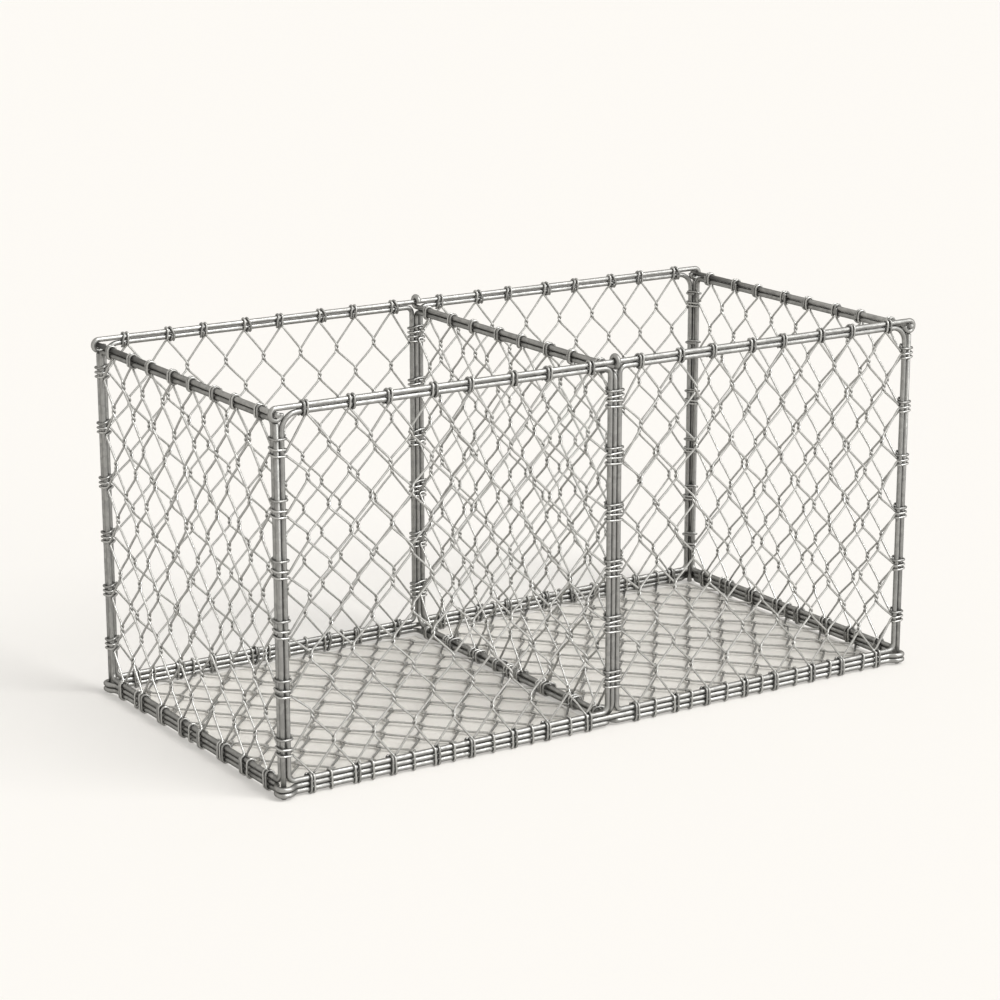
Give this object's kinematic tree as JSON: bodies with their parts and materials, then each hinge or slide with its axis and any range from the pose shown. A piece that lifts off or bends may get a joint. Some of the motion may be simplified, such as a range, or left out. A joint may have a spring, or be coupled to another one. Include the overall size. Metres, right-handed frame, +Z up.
{
  "type": "gabion basket",
  "caption": "Open-topped rectangular gabion basket of woven galvanised wire on bent rod frames, laced tight at the edges, with a middle diaphragm and a felt base liner, to be filled with stone.",
  "frame": {"origin": "centre of the footprint on the ground", "axes": "+X along the length from the left bay to the right bay, -Y towards the front, +Z up"},
  "size_m": [1.0146, 0.5146, 0.5073],
  "materials": {
    "frame_rod": "galvanised",
    "mesh_wire": "galvanised",
    "rim_rod": "galvanised",
    "lacing_wire": "galvanised",
    "liner_felt": "needle-punched felt"
  },
  "bodies": {
    "root": {"front_left_frame": "frame_rod", "front_right_frame": "frame_rod", "back_left_frame": "frame_rod", "back_right_frame": "frame_rod", "left_end_frame": "frame_rod", "right_end_frame": "frame_rod", "diaphragm_frame": "frame_rod", "base_left_frame": "frame_rod", "base_right_frame": "frame_rod", "front_left_mesh": "mesh_wire", "front_right_mesh": "mesh_wire", "back_left_mesh": "mesh_wire", "back_right_mesh": "mesh_wire", "left_end_mesh": "mesh_wire", "right_end_mesh": "mesh_wire", "diaphragm_mesh": "mesh_wire", "base_left_mesh": "mesh_wire", "base_right_mesh": "mesh_wire", "corner_posts": "frame_rod", "bottom_rim_rod": "rim_rod", "front_rim_rod": "rim_rod", "back_rim_rod": "rim_rod", "left_rim_rod": "rim_rod", "right_rim_rod": "rim_rod", "diaphragm_rim_rod": "rim_rod", "front_top_lacing": "lacing_wire", "back_top_lacing": "lacing_wire", "left_top_lacing": "lacing_wire", "right_top_lacing": "lacing_wire", "diaphragm_top_lacing": "lacing_wire", "front_bottom_lacing": "lacing_wire", "back_bottom_lacing": "lacing_wire", "left_bottom_lacing": "lacing_wire", "right_bottom_lacing": "lacing_wire", "diaphragm_bottom_lacing": "lacing_wire", "front_left_post_lacing": "lacing_wire", "front_right_post_lacing": "lacing_wire", "back_left_post_lacing": "lacing_wire", "back_right_post_lacing": "lacing_wire", "front_mid_post_lacing": "lacing_wire", "back_mid_post_lacing": "lacing_wire", "left_liner": "liner_felt", "right_liner": "liner_felt"}
  },
  "joints": []
}
